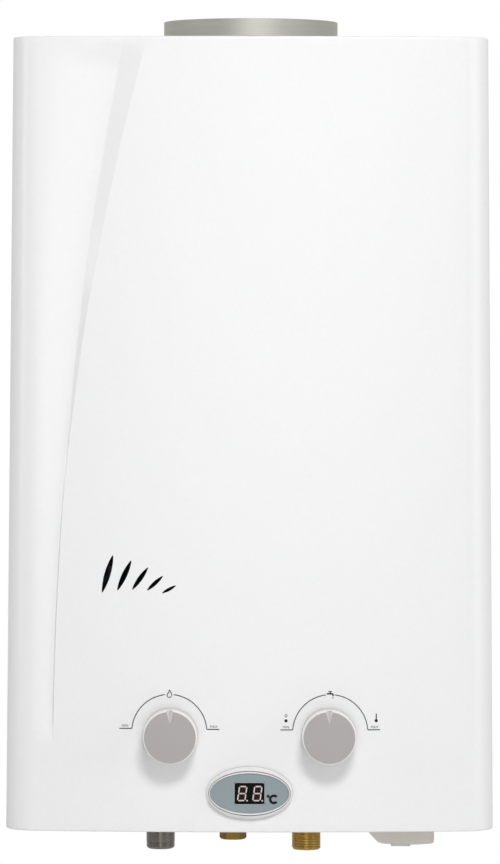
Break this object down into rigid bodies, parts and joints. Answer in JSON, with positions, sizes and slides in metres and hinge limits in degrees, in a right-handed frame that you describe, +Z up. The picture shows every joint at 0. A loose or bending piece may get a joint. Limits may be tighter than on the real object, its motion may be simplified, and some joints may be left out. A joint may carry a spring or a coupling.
{
  "type": "tankless gas water heater",
  "caption": "Wall-hung instantaneous gas water heater with a bowed white cover, flue collar, gas and water knobs, oval display, pipe stubs and a hinged battery door below.",
  "frame": {"origin": "centre of the wall-hole pattern, on the back face that lies against the wall", "axes": "+X to the right as seen from the front, +Y into the wall, +Z up"},
  "size_m": [0.3532, 0.1907, 0.604],
  "materials": {
    "white_enamel": "gloss",
    "zinc_sheet": "satin",
    "flue_metal": "brushed",
    "plated_steel": "satin",
    "burner_steel": "satin",
    "copper": "satin",
    "brass": "satin",
    "dark_fitting": "satin",
    "die_cast": "satin",
    "rubber": "matte",
    "black_plastic": "matte",
    "switch_red": "matte",
    "knob_grey": "satin",
    "white_ceramic": "gloss",
    "red_lead": "satin",
    "white_lead": "satin",
    "black_lead": "satin",
    "pale_plastic": "satin",
    "cell_jacket": "gloss",
    "bezel_silver": "gloss",
    "panel_blue": "gloss",
    "window_black": "gloss",
    "board_green": "satin"
  },
  "bodies": {
    "heater": {"back_plate": "zinc_sheet", "front_cover": "white_enamel", "top_panel": "white_enamel", "bottom_panel": "white_enamel", "cover_screws": "plated_steel", "flue_collar": "flue_metal", "draft_hood": "zinc_sheet", "chamber_shell": "copper", "fin_pack": "copper", "exchanger_tubes": "copper", "chamber_coil": "copper", "exchanger_brackets": "zinc_sheet", "cold_riser": "copper", "hot_pipe": "copper", "hot_outlet": "dark_fitting", "cold_inlet": "brass", "gas_inlet": "brass", "union_nut": "brass", "burner_frame": "zinc_sheet", "burner_bars": "burner_steel", "gas_manifold": "die_cast", "gas_jets": "brass", "gas_valve_body": "die_cast", "solenoid_valve": "black_plastic", "water_valve_body": "brass", "water_valve_cap": "brass", "diaphragm": "rubber", "valve_screws": "plated_steel", "valve_bracket": "zinc_sheet", "microswitch": "switch_red", "spark_electrode": "plated_steel", "flame_sensor": "plated_steel", "electrode_insulators": "white_ceramic", "electrode_bracket": "zinc_sheet", "igniter_module": "black_plastic", "overheat_switch": "black_plastic", "water_sensor": "brass", "spark_lead": "red_lead", "flame_lead": "white_lead", "solenoid_lead": "black_lead", "switch_lead": "black_lead", "battery_lead": "red_lead", "display_lead": "black_lead", "battery_box": "pale_plastic", "battery_cells": "cell_jacket", "battery_contacts": "plated_steel", "hinge_pin": "plated_steel", "display_bezel": "bezel_silver", "display_panel": "panel_blue", "display_module": "window_black", "display_board": "board_green"},
    "gas_knob": {"gas_knob": "knob_grey", "gas_spindle": "brass"},
    "water_knob": {"water_knob": "knob_grey", "water_spindle": "brass"},
    "battery_door": {"battery_door": "pale_plastic", "door_contact": "plated_steel"},
    "pushrod": {"pushrod": "plated_steel"},
    "microswitch_lever": {"microswitch_lever": "plated_steel"}
  },
  "joints": [
    {"name": "gas_knob_turn", "type": "hinge", "parent": "heater", "child": "gas_knob", "pos_m": [-0.0565, -0.1707, -0.2144], "axis": [0, 1, 0], "range_deg": [-78, 78]},
    {"name": "water_knob_turn", "type": "hinge", "parent": "heater", "child": "water_knob", "pos_m": [0.0565, -0.1707, -0.2144], "axis": [0, 1, 0], "range_deg": [-78, 78]},
    {"name": "battery_door_swing", "type": "hinge", "parent": "heater", "child": "battery_door", "pos_m": [0.13655, -0.085, -0.2877], "axis": [0, -1, 0], "range_deg": [0, 100]},
    {"name": "pushrod_slide", "type": "slide", "parent": "heater", "child": "pushrod", "axis": [-1, 0, 0], "range_m": [0, 0.004], "stiffness_N_per_m": 400, "springref_m": -0.004},
    {"name": "microswitch_lever_swing", "type": "hinge", "parent": "heater", "child": "microswitch_lever", "pos_m": [0.0005, -0.085, -0.1864], "axis": [0, 1, 0], "range_deg": [0, 10.2]}
  ],
  "couplings": [
    {"joint": "microswitch_lever_swing", "follows": "pushrod_slide", "rad_per_m": 43.5}
  ]
}
